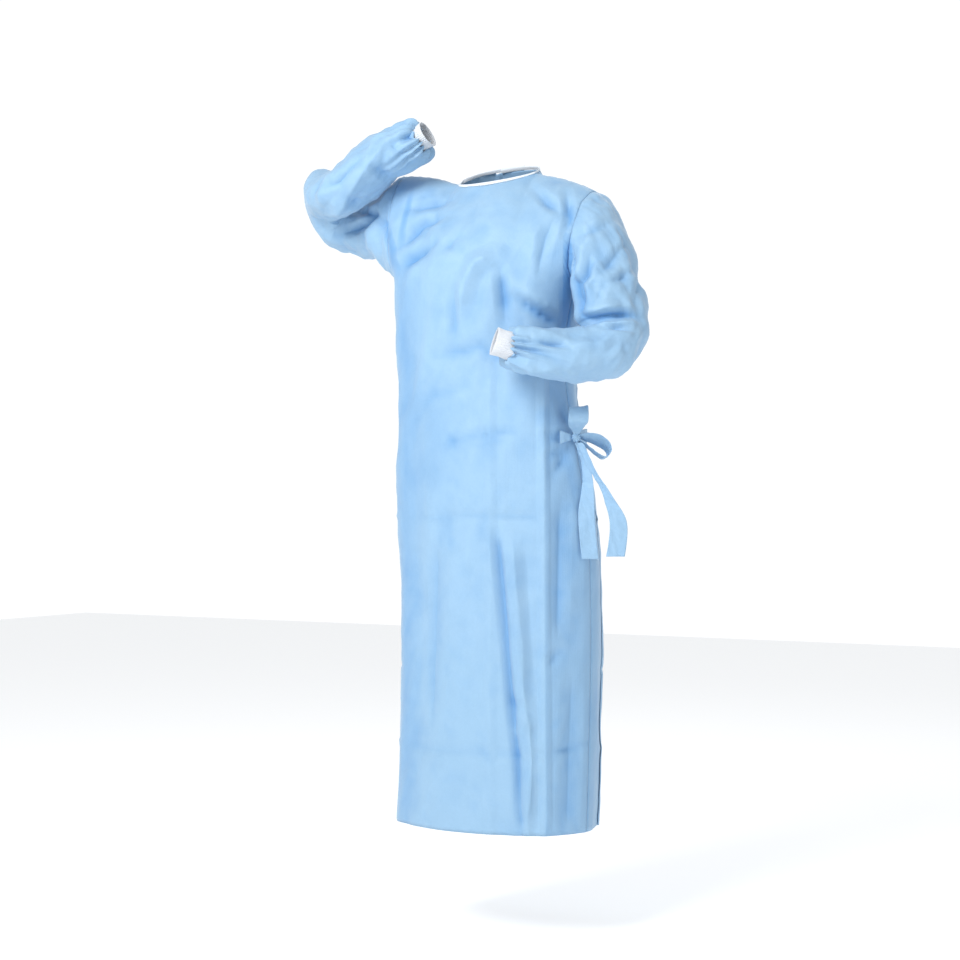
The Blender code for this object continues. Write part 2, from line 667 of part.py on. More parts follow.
def from_knot(right, forward, up):
    """A place given from the knot, as seen from the gown's front left."""
    turn = math.radians(SEEN_FROM)
    across = np.array([math.cos(turn), math.sin(turn), 0.0])
    nearer = np.array([math.sin(turn), -math.cos(turn), 0.0])
    return np.array(KNOT) + across * right + nearer * forward + np.array([0.0, 0.0, up])


def direction(right, forward, up):
    return from_knot(right, forward, up) - np.array(KNOT)


def ribbon(name, places, widths, leans):
    """A flat band along places, its width laid along leans."""
    places = np.array(places)
    leans = unit(np.array(leans))
    reach = leans * np.array(widths)[:, None] / 2
    along = unit(np.gradient(places, axis=0))
    facing = unit(np.cross(leans, along))
    middle = np.stack([places - reach, places, places + reach], axis=1)
    offset = (facing * TIE_CLOTH / 2)[:, None]
    return wall(name, middle + offset, middle - offset, "cloth")


def knot_ribbon(name, table, count):
    """A flat band through a table's rows, each given from the knot in millimetres."""
    rows = np.array(table, float)
    chords = np.concatenate([[0], np.cumsum(np.linalg.norm(np.diff(rows[:, :3], axis=0), axis=1))])
    at = through(chords, rows, np.linspace(0, chords[-1], count))
    places = [from_knot(*row[:3] / 1000.0) for row in at]
    leans = [direction(*row[4:7]) for row in at]
    return ribbon(name, places, at[:, 3] / 1000.0, leans)


def strap(name, angles, lifts, widths, to_knot):
    """A band that lies on the body from its sewn end to the knot."""
    places = [on_body(angle, KNOT[2], lift) for angle, lift in zip(angles, lifts)]
    places.append(from_knot(*to_knot))
    leans = [np.array([0.0, 0.0, 1.0])] * len(places)
    return ribbon(name, places, list(widths), leans)


def knot():
    shape = bmesh.new()
    bmesh.ops.create_uvsphere(shape, u_segments=14, v_segments=8, radius=1.0)
    mesh = bpy.data.meshes.new("bow_knot")
    shape.to_mesh(mesh)
    shape.free()
    turn = math.radians(SEEN_FROM)
    for vertex in mesh.vertices:
        x, y, z = (c * s for c, s in zip(vertex.co, KNOT_SIZE))
        vertex.co = (
            KNOT[0] + x * math.cos(turn) - y * math.sin(turn),
            KNOT[1] + x * math.sin(turn) + y * math.cos(turn),
            KNOT[2] + z,
        )
    mesh.shade_smooth()
    mesh.materials.append(material("cloth"))
    made = bpy.data.objects.new("bow_knot", mesh)
    bpy.context.scene.collection.objects.link(made)


def main():
    for old in list(bpy.data.objects):
        bpy.data.objects.remove(old)
    front, front_angles = front_panel()
    left, left_angles = back_panel(1, LEFT_NECK_COLUMNS)
    right, right_angles = back_panel(-1, RIGHT_NECK_COLUMNS)
    left_sleeve, left_cuff_frame = sleeve(1, LEFT_SLEEVE, LEFT_RINGS, LEFT_SLEEVE_FOLDS)
    right_sleeve, right_cuff_frame = sleeve(-1, RIGHT_SLEEVE, RIGHT_RINGS, RIGHT_SLEEVE_FOLDS)

    # Folds move the cloth along the plain form's normals, and the outer flap lies outside the inner panel.
    plain = [front, left, right]
    normals = share_normals([(grid, normals_of(grid)) for grid in plain])
    rises = [fold_rise(a, g[..., 2]) for a, g in zip((front_angles, left_angles, right_angles), plain)]
    rises[2] = rises[2] + flap_lift(right, right_angles)
    body = [grid + normal * rise[..., None] for grid, normal, rise in zip(plain, normals, rises)]

    grids = [(grid, normals_of(grid)) for grid in body]
    grids += [(left_sleeve, normals_of(left_sleeve, True)), (right_sleeve, normals_of(right_sleeve, True))]
    shared = share_normals(grids)
    cloth_wall("front_panel", body[0], shared[0])
    cloth_wall("left_back_panel", body[1], shared[1])
    cloth_wall("right_back_panel", body[2], shared[2])
    cloth_wall("left_sleeve", left_sleeve, shared[3], True)
    cloth_wall("right_sleeve", right_sleeve, shared[4], True)

    for side, frame in (("left", left_cuff_frame), ("right", right_cuff_frame)):
        outer = cuff(frame, CUFF_LENGTH[side])
        centre = outer.mean(axis=1, keepdims=True)
        wall(side + "_cuff", outer, outer - unit(outer - centre) * KNIT, "knit", True)

    binding(body, shared)
    patch = body[1][CLOSURE_ROWS, -CLOSURE_COLUMNS:] + shared[1][CLOSURE_ROWS, -CLOSURE_COLUMNS:] * SEAM_GAP
    thick = shared[1][CLOSURE_ROWS, -CLOSURE_COLUMNS:] * CLOSURE_THICKNESS
    wall("neck_closure", patch + thick, patch, "binding")

    knot()
    for name, table, count in TIE_RIBBONS:
        knot_ribbon(name, table, count)
    strap("front_tie_root", FRONT_ROOT_ANGLES, FRONT_ROOT_LIFTS, FRONT_ROOT_WIDTHS, FRONT_ROOT_END)
    strap("flap_tie", FLAP_TIE_ANGLES, FLAP_TIE_LIFTS, FLAP_TIE_WIDTHS, FLAP_TIE_END)


if __name__ == "__main__":
    main()
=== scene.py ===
import math

import bmesh
import bpy
import numpy as np
from mathutils import Matrix, Vector
from mathutils.kdtree import KDTree


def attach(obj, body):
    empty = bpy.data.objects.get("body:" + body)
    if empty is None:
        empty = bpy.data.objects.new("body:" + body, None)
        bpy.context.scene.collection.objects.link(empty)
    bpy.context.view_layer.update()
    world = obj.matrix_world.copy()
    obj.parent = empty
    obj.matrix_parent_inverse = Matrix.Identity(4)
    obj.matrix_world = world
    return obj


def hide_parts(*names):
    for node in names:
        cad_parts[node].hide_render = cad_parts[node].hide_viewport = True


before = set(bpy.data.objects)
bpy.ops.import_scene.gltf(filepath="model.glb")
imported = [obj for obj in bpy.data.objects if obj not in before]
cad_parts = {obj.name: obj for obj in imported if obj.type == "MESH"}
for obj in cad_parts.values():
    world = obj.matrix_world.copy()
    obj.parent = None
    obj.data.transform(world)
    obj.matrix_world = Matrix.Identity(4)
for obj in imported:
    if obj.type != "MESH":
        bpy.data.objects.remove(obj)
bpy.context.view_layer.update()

# Camera, floor and light
# The camera stands a little below the bow's height, 30 degrees round to the gown's left, and looks level.
# The floor is a plain pale sheet of studio paper, below the hem.
for each in bpy.context.selected_objects:
    each.select_set(False)

VIEW_TURN = math.radians(30.0)
CAMERA_DISTANCE = 4.0
CAMERA_HEIGHT = -0.571
CAMERA_ASIDE = 0.0378
LENS_MM = 79.35
FLOOR_HEIGHT = -1.42

view_right = Vector((math.cos(VIEW_TURN), math.sin(VIEW_TURN), 0.0))
view_back = Vector((math.sin(VIEW_TURN), -math.cos(VIEW_TURN), 0.0))
bpy.ops.object.camera_add()
camera = bpy.context.object
camera.name = "studio_camera"
camera.data.lens = LENS_MM
camera.data.sensor_width = 36.0
place = view_back * CAMERA_DISTANCE - view_right * CAMERA_ASIDE + Vector((0.0, 0.0, CAMERA_HEIGHT))
turn = Matrix((view_right, (0.0, 0.0, 1.0), view_back)).transposed()
camera.matrix_world = Matrix.Translation(place) @ turn.to_4x4()
bpy.context.scene.camera = camera


def srgb(code, strength=1.0):
    """A hex colour as linear red, green, blue and one for alpha."""
    parts = [int(code[i : i + 2], 16) / 255.0 for i in (1, 3, 5)]
    linear = [p / 12.92 if p <= 0.04045 else ((p + 0.055) / 1.055) ** 2.4 for p in parts]
    return [p * strength for p in linear] + [1.0]


def add_node(tree, kind, settings=None, values=None, links=None):
    """Adds a node, sets its properties and input values, and links other nodes' outputs to its inputs."""
    node = tree.nodes.new(kind)
    for name, value in (settings or {}).items():
        setattr(node, name, value)
    for name, value in (values or {}).items():
        node.inputs[name].default_value = value
    for name, source in (links or {}).items():
        tree.links.new(source, node.inputs[name])
    return node


def new_material(name):
    """An empty node material with a Principled shader."""
    made = bpy.data.materials.new(name)
    made.use_nodes = True
    return made, made.node_tree, made.node_tree.nodes["Principled BSDF"]


bpy.ops.mesh.primitive_plane_add(size=14.0, location=(0.0, 0.0, FLOOR_HEIGHT))
floor = bpy.context.object
floor.name = "studio_floor"
paper, tree, shader = new_material("white_studio_paper")
shader.inputs["Base Color"].default_value = srgb("#F4F6F8")
shader.inputs["Roughness"].default_value = 0.9
shader.inputs["Emission Color"].default_value = srgb("#FFFFFF")
shader.inputs["Emission Strength"].default_value = 0.34
floor.data.materials.append(paper)

# Each light's name, place (to the right, towards the camera, up), size, watts and colour.
LIGHTS = (
    ("key_light", -1.5, 2.2, 1.3, 1.3, 79.0, "#FFFFFF"),
    ("fill_light", 2.4, 2.2, 0.2, 2.2, 11.0, "#F4F9FF"),
    ("back_light", 1.2, -2.2, 1.6, 1.8, 12.0, "#FFFFFF"),
)
for name, aside, nearer, up, size, watts, colour in LIGHTS:
    bpy.ops.object.light_add(type="AREA")
    lamp = bpy.context.object
    lamp.name = name
    lamp.data.shape = "DISK"
    lamp.data.size = size
    lamp.data.energy = watts
    lamp.data.color = srgb(colour)[:3]
    lamp.location = view_right * aside + view_back * nearer + Vector((0.0, 0.0, up))
    aim = Vector((0.0, 0.0, -0.5)) - lamp.location
    lamp.rotation_euler = aim.to_track_quat("-Z", "Y").to_euler()

# The air is white beyond the gown and dimmer on the near side, so that the key light can shape the folds.
world = bpy.data.worlds.new("studio_air")
world.use_nodes = True
tree = world.node_tree
outward = add_node(tree, "ShaderNodeTexCoord").outputs["Generated"]
beyond = add_node(tree, "ShaderNodeVectorMath", {"operation": "DOT_PRODUCT"}, links={0: outward})
beyond.inputs[1].default_value = -view_back
strength = add_node(
    tree, "ShaderNodeMapRange", values={"From Min": 0.30, "From Max": 0.92, "To Min": 0.50, "To Max": 1.06},
    links={"Value": beyond.outputs["Value"]},
)
tree.nodes["Background"].inputs["Color"].default_value = srgb("#FDFEFF")
tree.links.new(strength.outputs["Result"], tree.nodes["Background"].inputs["Strength"])
bpy.context.scene.world = world
bpy.context.scene.view_settings.view_transform = "Standard"

# Gown shell
# The five cut pieces of light blue spunbond and meltblown nonwoven, about 45 grams a square metre.
# They are sewn into one shell, so their sheets are shaped as one, creased, and then parted at the seams.
CLOTH_PIECES = ("front_panel", "left_back_panel", "right_back_panel", "left_sleeve", "right_sleeve")
SHELL_WALL = 0.0022
WELD = 0.0026
SAME_POINT = 0.00002
CLOTH_THICKNESS = 0.0006


def outer_sheet(name, wall=SHELL_WALL):
    """The outer skin of a node's solid, without its rim and its inner skin, as a bmesh of quads."""
    shape = bmesh.new()
    shape.from_mesh(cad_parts[name].data)
    bmesh.ops.remove_doubles(shape, verts=shape.verts, dist=SAME_POINT)
    rim = [f for f in shape.faces if min(e.calc_length() for e in f.edges) < wall]
    bmesh.ops.delete(shape, geom=rim, context="FACES")
    loose = [v for v in shape.verts if not v.link_faces]
    bmesh.ops.delete(shape, geom=loose, context="VERTS")
    shape.verts.ensure_lookup_table()
    seen = {}
    groups = []
    for start in shape.verts:
        if start.index in seen:
            continue
        group = [start]
        seen[start.index] = len(groups)
        for vertex in group:
            for edge in vertex.link_edges:
                other = edge.other_vert(vertex)
                if other.index not in seen:
                    seen[other.index] = len(groups)
                    group.append(other)
        groups.append(group)
    areas = [sum(f.calc_area() / len(f.verts) for v in group for f in v.link_faces) for group in groups]
    outer = groups[areas.index(max(areas))]
    kept = set(outer)
    bmesh.ops.delete(shape, geom=[v for v in shape.verts if v not in kept], context="VERTS")
    bmesh.ops.join_triangles(shape, faces=shape.faces, angle_face_threshold=1.2, angle_shape_threshold=3.1)
    return shape


def as_object(shape, name):
    """A new object with the bmesh's faces, shaded smooth."""
    mesh = bpy.data.meshes.new(name)
    shape.to_mesh(mesh)
    shape.free()
    mesh.shade_smooth()
    made = bpy.data.objects.new(name, mesh)
    bpy.context.scene.collection.objects.link(made)
    return made


def apply_modifier(piece, kind, settings):
    """Adds a modifier with its settings and applies it."""
    modifier = piece.modifiers.new(kind, kind)
    for name, value in settings.items():
        setattr(modifier, name, value)
    with bpy.context.temp_override(object=piece, active_object=piece, selected_objects=[piece]):
        bpy.ops.object.modifier_apply(modifier=modifier.name)


def subdivided(piece, levels):
    settings = {"levels": levels, "render_levels": levels, "boundary_smooth": "PRESERVE_CORNERS"}
    apply_modifier(piece, "SUBSURF", settings)


joined = bmesh.new()
piece_layer = joined.faces.layers.int.new("piece")
for number, name in enumerate(CLOTH_PIECES):
    sheet = outer_sheet(name)
    corner = {v: joined.verts.new(v.co) for v in sheet.verts}
    for face in sheet.faces:
        made = joined.faces.new([corner[v] for v in face.verts])
        made[piece_layer] = number
    sheet.free()
border = [v for v in joined.verts if any(e.is_boundary for e in v.link_edges)]
bmesh.ops.remove_doubles(joined, verts=border, dist=WELD)
shell = as_object(joined, "gown_shell")
subdivided(shell, 3)

mesh = shell.data
count = len(mesh.vertices)
spots = np.empty(count * 3)
mesh.vertices.foreach_get("co", spots)
spots = spots.reshape(-1, 3)
facing = np.empty(count * 3)
mesh.vertices.foreach_get("normal", facing)
facing = facing.reshape(-1, 3)

# Each face's piece, and the pieces that each point belongs to.
face_piece = np.empty(len(mesh.polygons), dtype=np.int32)
mesh.attributes["piece"].data.foreach_get("value", face_piece)
corner_vertex = np.empty(len(mesh.loops), dtype=np.int32)
mesh.loops.foreach_get("vertex_index", corner_vertex)
corner_piece = np.repeat(face_piece, [p.loop_total for p in mesh.polygons])
touches = np.zeros((count, len(CLOTH_PIECES)), dtype=bool)
touches[corner_vertex, corner_piece] = True
on_seam = touches.sum(axis=1) > 1
on_sleeve = touches[:, 3] | touches[:, 4]
on_left_sleeve = touches[:, 3]
on_right_sleeve = touches[:, 4]
on_body = ~on_sleeve


def smooth_step(share):
    share = np.clip(share, 0.0, 1.0)
    return share * share * (3.0 - 2.0 * share)


# Where the right back panel laps over the left one, the two lie against each other.
LAP_REACH = 0.0150
LAP_GAP = 0.0022
LAP_FADE = 0.004
under = KDTree(int(touches[:, 1].sum()))
for spot in spots[touches[:, 1]]:
    under.insert(spot, 0)
under.balance()
flap = np.flatnonzero(touches[:, 2] & ~on_seam)
flap_moves = np.zeros((len(flap), 3))
for row, index in enumerate(flap):
    apart = under.find(spots[index])[2]
    if LAP_GAP < apart < LAP_REACH:
        share = float(smooth_step((LAP_REACH - apart) / LAP_FADE))
        flap_moves[row] = -facing[index] * (apart - LAP_GAP) * share
flap_tree = KDTree(len(flap))
for row, spot in enumerate(spots[flap]):
    flap_tree.insert(spot, row)
flap_tree.balance()
spots[flap] += flap_moves

across = spots @ np.array(view_right)
height = spots[:, 2]
seen = smooth_step(facing @ np.array(view_back) * 3.0)

# Creases that the front shows: places across and up the view, half width, rise, all in metres, and sharpness.
BODY_CREASES = (
    (((-0.010, -0.668), (0.004, -0.809), (0.017, -0.973), (0.030, -1.101), (0.037, -1.212)),
     0.008, -0.0090, 1.1),
    (((0.022, -0.690), (0.040, -0.955), (0.056, -1.074), (0.044, -1.190)), 0.014, 0.0100, 1.2),
    (((-0.148, -0.642), (-0.050, -0.637), (0.072, -0.639)), 0.006, -0.0035, 1.0),
    (((-0.102, -0.503), (-0.040, -0.488), (0.045, -0.481)), 0.006, -0.0035, 1.0),
    (((-0.180, -1.065), (0.081, -1.068), (0.176, -1.052)), 0.006, -0.0044, 1.0),
    (((0.081, -0.909), (0.109, -0.882)), 0.010, -0.0066, 1.2),
    (((-0.001, -0.191), (0.003, -0.230), (0.008, -0.278)), 0.012, -0.0110, 1.3),
    (((-0.007, -0.159), (-0.047, -0.178), (-0.065, -0.214), (-0.071, -0.260)), 0.016, 0.0110, 1.3),
    (((-0.111, -0.150), (-0.080, -0.125)), 0.010, -0.0077, 1.2),
    (((-0.175, -0.059), (-0.093, -0.044)), 0.009, -0.0066, 1.2),
    (((-0.162, -0.092), (-0.100, -0.077)), 0.009, -0.0066, 1.2),
    (((0.063, -0.037), (0.085, -0.062), (0.109, -0.086)), 0.010, -0.0088, 1.2),
    (((0.095, -0.100), (0.081, -0.132), (0.068, -0.196)), 0.012, -0.0055, 1.3),
    (((0.022, -0.238), (0.062, -0.264), (0.112, -0.290)), 0.014, -0.0085, 1.7),
    (((0.025, -0.224), (0.068, -0.246), (0.104, -0.268)), 0.010, 0.0060, 1.1),
    (((-0.087, -0.225), (-0.087, -0.320)), 0.010, -0.0066, 1.2),
    (((0.074, -0.340), (0.077, -0.571), (0.081, -1.215)), 0.008, 0.0048, 0.9),
    (((-0.020, -0.380), (-0.018, -0.800), (-0.020, -1.215)), 0.008, 0.0026, 0.9),
    (((0.121, -0.045), (0.123, -0.068), (0.127, -0.095), (0.119, -0.125)), 0.010, -0.0099, 1.2),
    (((0.127, -0.500), (0.081, -0.487)), 0.009, -0.0077, 1.2),
    (((0.127, -0.511), (0.087, -0.527)), 0.009, -0.0077, 1.2),
    (((0.127, -0.520), (0.094, -0.560)), 0.010, -0.0077, 1.2),
    (((0.132, -0.480), (0.112, -0.440)), 0.010, -0.0066, 1.2),
    (((-0.188, -0.172), (-0.126, -0.132)), 0.013, -0.0110, 1.3),
    (((-0.191, -0.132), (-0.140, -0.085)), 0.012, -0.0099, 1.3),
    (((0.021, -0.973), (0.054, -0.995)), 0.010, -0.0099, 1.1),
    (((0.024, -1.028), (0.054, -1.014)), 0.010, 0.0099, 1.1),
    (((0.010, -0.360), (-0.040, -0.330), (-0.120, -0.345)), 0.014, -0.0077, 1.3),
    (((-0.140, -0.420), (-0.060, -0.400)), 0.012, -0.0044, 1.3),
    (((0.110, -0.620), (0.104, -0.850)), 0.014, -0.0066, 1.3),
    (((0.130, -0.940), (0.122, -1.200)), 0.016, -0.0045, 1.3),
    (((-0.120, -0.700), (-0.128, -1.000)), 0.018, -0.0055, 1.4),
)
LEFT_SLEEVE_CREASES = (
    (((0.1165, -0.128), (0.121, -0.155), (0.122, -0.210), (0.128, -0.241), (0.137, -0.264), (0.153, -0.280)),
     0.009, -0.0150, 1.1),
    (((0.159, -0.167), (0.151, -0.202), (0.138, -0.216), (0.142, -0.243), (0.145, -0.264), (0.154, -0.274)),
     0.008, -0.0120, 1.1),
    (((0.150, -0.212), (0.152, -0.240)), 0.008, 0.0070, 1.1),
    (((0.150, -0.290), (0.186, -0.280), (0.221, -0.275), (0.248, -0.278)), 0.009, -0.0140, 1.1),
    (((0.165, -0.268), (0.186, -0.263), (0.221, -0.258)), 0.009, 0.0080, 1.1),
    (((0.165, -0.298), (0.205, -0.290), (0.243, -0.291)), 0.007, 0.0060, 1.1),
    (((0.178, -0.298), (0.213, -0.304), (0.236, -0.310)), 0.006, -0.0080, 1.1),
    (((0.146, -0.216), (0.180, -0.222)), 0.009, -0.0070, 1.1),
    (((0.180, -0.223), (0.168, -0.256)), 0.009, -0.0070, 1.1),
    (((0.053, -0.321), (0.084, -0.327), (0.121, -0.332)), 0.006, -0.0100, 1.1),
    (((0.030, -0.300), (0.060, -0.308), (0.110, -0.318)), 0.008, 0.0060, 1.1),
    (((0.121, -0.334), (0.178, -0.330), (0.197, -0.316), (0.248, -0.310)), 0.010, 0.0080, 1.1),
    (((0.030, -0.335), (0.075, -0.350), (0.110, -0.365)), 0.009, -0.0060, 1.1),
    (((0.034, -0.352), (0.060, -0.385)), 0.008, 0.0050, 1.1),
    (((0.228, -0.140), (0.199, -0.180), (0.171, -0.205)), 0.010, -0.0070, 1.2),
    (((0.205, -0.118), (0.228, -0.165), (0.232, -0.215)), 0.009, 0.0060, 1.1),
    (((0.205, -0.100), (0.160, -0.125), (0.140, -0.130)), 0.008, -0.0060, 1.1),
    (((0.245, -0.185), (0.215, -0.210), (0.190, -0.215)), 0.009, -0.0070, 1.1),
    (((0.250, -0.210), (0.243, -0.250)), 0.008, -0.0080, 1.1),
    (((0.247, -0.270), (0.246, -0.305)), 0.008, -0.0060, 1.1),
    (((0.214, -0.079), (0.226, -0.082)), 0.010, -0.0080, 1.1),
)
RIGHT_SLEEVE_CREASES = (
    (((-0.197, 0.061), (-0.155, 0.079), (-0.128, 0.077)), 0.008, -0.0110, 1.1),
    (((-0.200, 0.048), (-0.165, 0.062), (-0.132, 0.062)), 0.007, 0.0060, 1.1),
    (((-0.216, 0.063), (-0.193, 0.049), (-0.170, 0.031)), 0.008, -0.0050, 1.1),
    (((-0.216, 0.058), (-0.262, 0.003), (-0.295, -0.048), (-0.341, -0.081)), 0.012, 0.0080, 1.1),
    (((-0.281, -0.044), (-0.244, -0.058), (-0.262, -0.076), (-0.309, -0.090)), 0.009, -0.0120, 1.1),
    (((-0.239, -0.062), (-0.216, -0.085), (-0.202, -0.123), (-0.197, -0.150)), 0.008, -0.0100, 1.1),
    (((-0.225, -0.098), (-0.213, -0.140)), 0.008, 0.0060, 1.1),
    (((-0.197, -0.048), (-0.179, -0.016), (-0.170, 0.003)), 0.008, -0.0080, 1.1),
    (((-0.313, -0.095), (-0.299, -0.127), (-0.267, -0.123)), 0.008, -0.0060, 1.1),
    (((-0.262, -0.071), (-0.248, -0.113), (-0.253, -0.141)), 0.009, 0.0070, 1.1),
    (((-0.346, -0.016), (-0.309, -0.011), (-0.267, 0.031)), 0.009, -0.0060, 1.1),
    (((-0.240, 0.020), (-0.200, -0.004)), 0.009, -0.0060, 1.1),
    (((-0.360, -0.060), (-0.335, -0.080)), 0.009, -0.0060, 1.1),
)

# At its ends a crease keeps this share of its rise, which grows to the whole over the reach in metres, and
# to its sides it fades out over this many half widths.
END_RISE = 0.35
END_REACH = 0.03
CREASE_SPREAD = 1.6


def crease_rise(creases):
    """How far a table's creases move each point, nothing on what faces away from the view."""
    rise = np.zeros(count)
    for places, half_width, top, sharpness in creases:
        nearest = np.full(count, 9.0)
        length = sum(math.dist(a, b) for a, b in zip(places, places[1:]))
        passed = 0.0
        ends = np.zeros(count)
        for start, end in zip(places, places[1:]):
            step = np.subtract(end, start)
            share = ((across - start[0]) * step[0] + (height - start[1]) * step[1]) / (step @ step)
            share = np.clip(share, 0.0, 1.0)
            apart = np.hypot(across - start[0] - share * step[0], height - start[1] - share * step[1])
            along = passed + share * math.dist(start, end)
            closer = apart < nearest
            nearest = np.where(closer, apart, nearest)
            ends = np.where(closer, np.minimum(along, length - along), ends)
            passed += math.dist(start, end)
        fade = END_RISE + (1.0 - END_RISE) * smooth_step(ends / END_REACH)
        rise += top * fade * np.clip(1.0 - nearest / (CREASE_SPREAD * half_width), 0.0, 1.0) ** sharpness
    return rise * seen


def crumple(places, spacing, seed, layers=3):
    """Flat facets that meet in sharp ridges, as crushed nonwoven shows, about minus a half to a half."""
    random = np.random.default_rng(seed)
    bent = places.copy()
    for axis in range(3):
        way = random.normal(size=3)
        way *= 2.0 * math.pi / (spacing * 3.0) / np.linalg.norm(way)
        bent[:, axis] += 0.22 * spacing * np.sin(places @ way + random.uniform(0, 6.28))
    total = np.zeros(len(places))
    for _ in range(layers):
        top = np.full(len(places), -1.0)
        for _ in range(3):
            way = random.normal(size=3)
            way /= np.linalg.norm(way) * spacing * random.uniform(0.8, 1.7)
            wave = np.abs((bent @ way + random.uniform()) % 1.0 - 0.5) * 4.0 - 1.0
            top = np.maximum(top, wave)
        total += top - 0.5
    return total / layers


# Creases pressed in by the folded packing run down and across the hidden sides too. The first are given by
# their angles from the front, in degrees, and the second by their heights, with -1 where one is hollow.
DOWN_CREASES = (112.0, 150.0, 182.0, -148.0, -112.0, -82.0)
DOWN_RISE = 0.0032
DOWN_HALF_WIDTH = 0.010
ACROSS_CREASES = ((-0.34, -1), (-0.64, 1), (-0.92, -1), (-1.07, 1))
ACROSS_RISE = 0.00224
ACROSS_HALF_WIDTH = 0.007
ACROSS_WANDER = 0.004
SKIRT_RADIUS = 0.17
SKIRT_MIDDLE = -0.02
angle = np.degrees(np.arctan2(spots[:, 0], SKIRT_MIDDLE - spots[:, 1]))
pressed = np.zeros(count)
for at in DOWN_CREASES:
    apart = np.radians(np.abs((angle - at + 180.0) % 360.0 - 180.0)) * SKIRT_RADIUS
    pressed += DOWN_RISE * np.clip(1.0 - apart / DOWN_HALF_WIDTH, 0.0, 1.0)
for at, way in ACROSS_CREASES:
    apart = np.abs(height - at - ACROSS_WANDER * np.sin(angle / 23.0))
    pressed += way * ACROSS_RISE * np.clip(1.0 - apart / ACROSS_HALF_WIDTH, 0.0, 1.0)

# How far each point is from the nearest seam.
seam_tree = KDTree(int(on_seam.sum()))
for index, spot in enumerate(spots[on_seam]):
    seam_tree.insert(spot, index)
seam_tree.balance()
seam_apart = np.array([seam_tree.find(spot)[2] for spot in spots])

# The cloth is crushed into facets of three sizes. The sleeves show more of them than the panels do.
BODY_CRUSH = (0.0036, 0.0018, 0.0006)
SLEEVE_CRUSH = (0.0100, 0.0072, 0.0020)
HIDDEN_CRUSH = 0.0030
PRESSED_TOP = -0.08
PRESSED_FADE = 0.1
BODY_CREASING = 1.3
SLEEVE_CREASING = 1.15
hidden = 1.0 - seen
large = crumple(spots * (1.0, 1.0, 0.55), 0.120, 11)
middle = crumple(spots * (1.0, 1.0, 0.8), 0.062, 7)
small = crumple(spots, 0.034, 23)
rise = np.zeros(count)
for mask, (of_large, of_middle, of_small) in ((on_body, BODY_CRUSH), (on_sleeve, SLEEVE_CRUSH)):
    rise += mask * (of_large * large + of_middle * middle + of_small * small)
below_top = smooth_step((PRESSED_TOP - height) / PRESSED_FADE)
rise += on_body * hidden * (HIDDEN_CRUSH * large + pressed * below_top)
creased = on_body * BODY_CREASING * crease_rise(BODY_CREASES)
creased += on_left_sleeve * SLEEVE_CREASING * crease_rise(LEFT_SLEEVE_CREASES)
creased += on_right_sleeve * SLEEVE_CREASING * crease_rise(RIGHT_SLEEVE_CREASES)
rise += creased

# Painted shade: the cloth is painted a deeper blue where shade falls. This covers crease valleys, the hollows
# of the crush, the side past the pressed edge that is turned from the key light, and the places in the table.
# The table has the columns of the creases, with a painted shade strength in place of the rise.
DEEPEST_SHADE = 0.75
CREASE_SHADE = 0.62
CREASE_DEPTH = 0.013
MIDDLE_CRUSH_SHADE = 0.30
SMALL_CRUSH_SHADE = 0.18
RIGHT_ARMHOLE_HEIGHT = -0.075
SIDE_SHADE = 0.17
SIDE_EDGE = 0.078
SIDE_TOP = -0.33
# Places given painted shade: under both arms, along the left border, beside the tent fold and along the waist
# crease.
PAINTED_SHADE_PLACES = (
    (((0.1200, -0.130), (0.120, -0.200), (0.121, -0.292)), 0.005, 0.70, 0.35),
    (((0.119, -0.212), (0.119, -0.292)), 0.009, 0.55, 0.30),
    (((0.042, -0.252), (0.075, -0.270), (0.112, -0.288)), 0.009, 0.42, 0.9),
    (((0.153, -0.238), (0.158, -0.275)), 0.008, 0.50, 0.35),
    (((0.166, -0.284), (0.210, -0.276), (0.240, -0.274)), 0.004, 0.40, 0.7),
    (((-0.176, -0.190), (-0.176, -1.200)), 0.020, 0.30, 0.8),
    (((-0.150, -0.400), (-0.120, -0.470), (-0.130, -0.600)), 0.040, 0.22, 1.2),
    (((0.010, -0.690), (0.024, -0.960), (0.036, -1.200)), 0.012, 0.12, 0.6),
    (((-0.110, -0.510), (-0.030, -0.492), (0.020, -0.486)), 0.014, 0.20, 1.0),
    (((-0.150, -0.055), (-0.185, -0.100)), 0.020, 0.20, 1.0),
    (((-0.167, -0.020), (-0.180, -0.080), (-0.192, -0.135)), 0.004, 0.50, 0.5),
    (((-0.218, -0.080), (-0.207, -0.125), (-0.198, -0.185)), 0.006, 0.60, 0.5),
)
# Painted shade in the crease valleys, deeper as the crease goes deeper.
painted_fold_shade = CREASE_SHADE * (np.clip(-creased, 0.0, CREASE_DEPTH) / CREASE_DEPTH) ** 1.5
painted_fold_shade += (on_body | on_left_sleeve | (height < RIGHT_ARMHOLE_HEIGHT)) * crease_rise(PAINTED_SHADE_PLACES)
# Painted shade on the cloth past the pressed side edge, the side turned away from the key light.
shaded_side = smooth_step((across - SIDE_EDGE) / 0.004) * smooth_step((SIDE_TOP - height) / 0.04)
painted_fold_shade += on_body * seen * SIDE_SHADE * shaded_side
# Painted shade in the hollows of the middle and small crush.
painted_fold_shade += MIDDLE_CRUSH_SHADE * np.clip(-middle, 0.0, 1.0) + SMALL_CRUSH_SHADE * np.clip(-small, 0.0, 1.0)
painted_fold_shade = np.clip(painted_fold_shade, 0.0, DEEPEST_SHADE)

